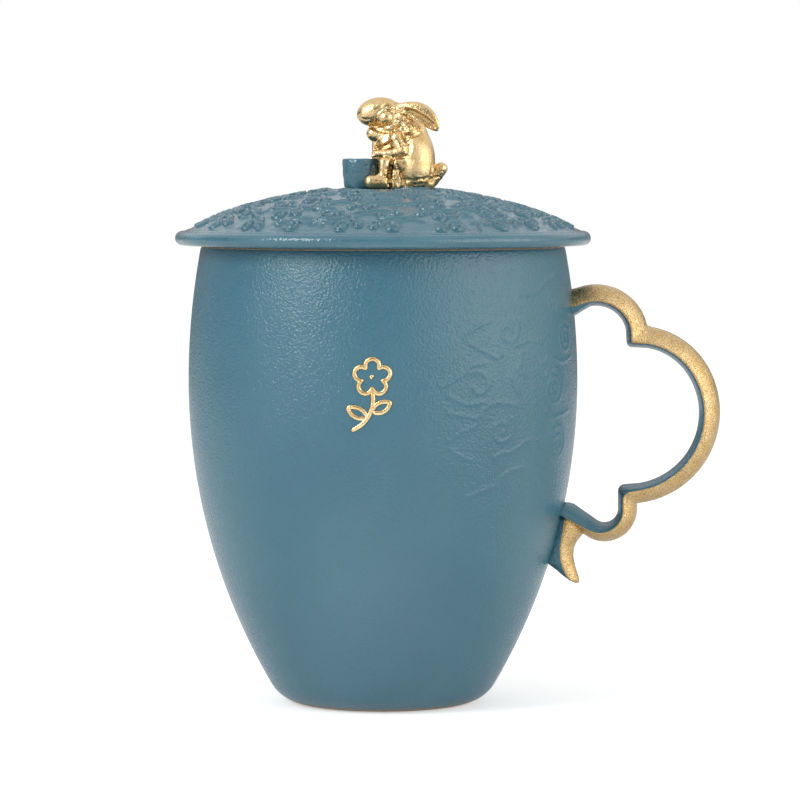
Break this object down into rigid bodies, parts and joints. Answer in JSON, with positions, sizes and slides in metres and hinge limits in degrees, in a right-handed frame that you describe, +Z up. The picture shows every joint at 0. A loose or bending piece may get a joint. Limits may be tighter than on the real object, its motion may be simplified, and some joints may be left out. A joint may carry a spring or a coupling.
{
  "type": "lidded mug",
  "caption": "Barrel-shaped ceramic mug with a cloud-scroll loop handle and a loose domed lid, lifted by a gilt rabbit-and-mortar knob.",
  "frame": {"origin": "middle of the foot ring, on the surface that the mug stands on", "axes": "+Z up along the cup's axis, +X from the axis towards the handle, +Y away from the side with the emblem"},
  "size_m": [0.1232, 0.0938, 0.1371],
  "materials": {
    "satin_glaze": "satin teal-blue glaze with a fine orange-peel skin",
    "carved_glaze": "glossier teal-blue glaze",
    "gilding": "fired gold lustre with a fine grain"
  },
  "bodies": {
    "mug": {"mug_body": "satin_glaze", "handle": "gilding"},
    "lid": {"lid": "carved_glaze", "rabbit_figure": "gilding", "mortar": "carved_glaze"}
  },
  "joints": [
    {"name": "lid_lift", "type": "slide", "parent": "mug", "child": "lid", "axis": [0, 0, 1], "range_m": [0, 0.05]}
  ]
}
